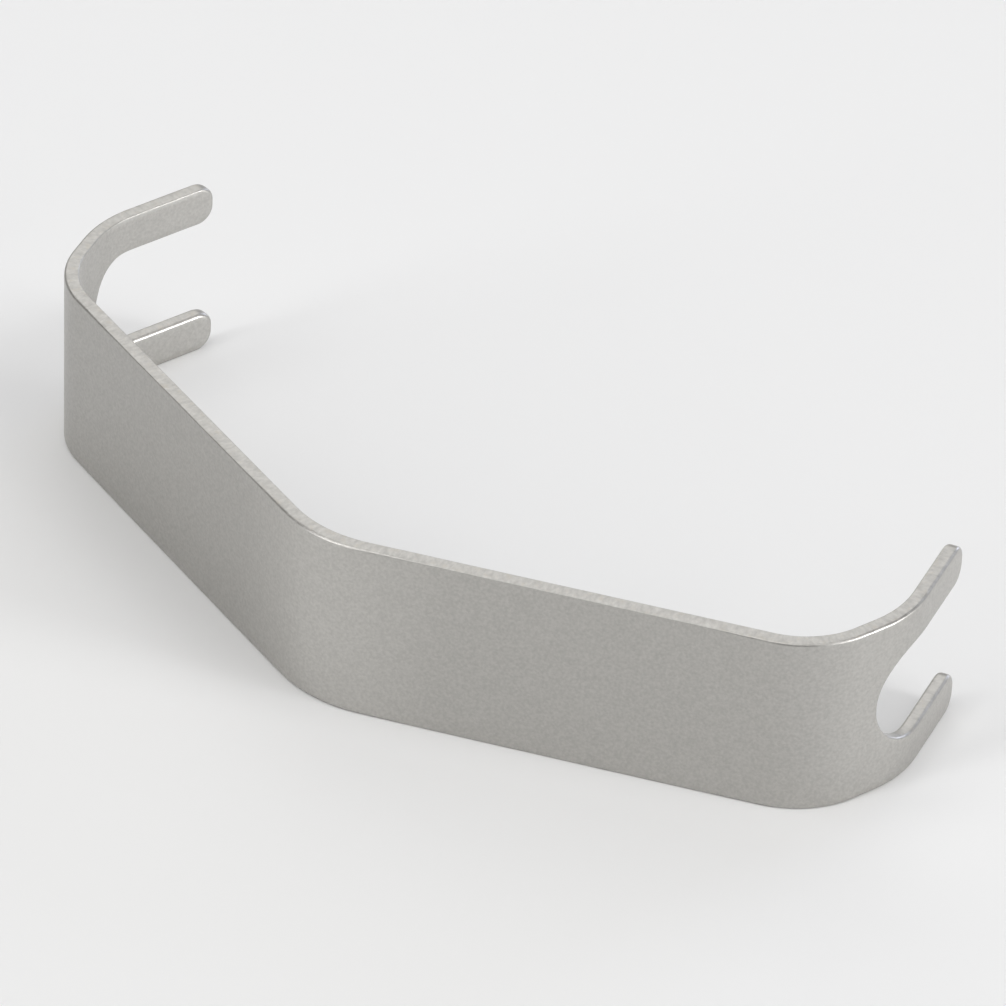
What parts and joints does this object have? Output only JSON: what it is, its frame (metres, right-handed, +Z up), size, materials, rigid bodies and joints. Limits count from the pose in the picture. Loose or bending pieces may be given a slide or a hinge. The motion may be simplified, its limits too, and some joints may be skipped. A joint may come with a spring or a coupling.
{
  "type": "filter retaining clip",
  "caption": "One-piece spring clip of satin stainless strip: a shallow vee with both ends bent back into round-nosed forks that hook over studs and press on a filter.",
  "frame": {"origin": "middle of the clip's footprint, on the plane that its lower long edge rests on", "axes": "+Z up, across the strip's width; +X along the span from fork to fork; +Y from the nose of the vee towards the tines"},
  "size_m": [0.082, 0.0325, 0.016],
  "materials": {
    "stainless_strip": "fine satin rolled stainless, tumbled, with warmer matte sheared edges"
  },
  "bodies": {
    "root": {"retaining_clip": "stainless_strip"}
  },
  "joints": []
}
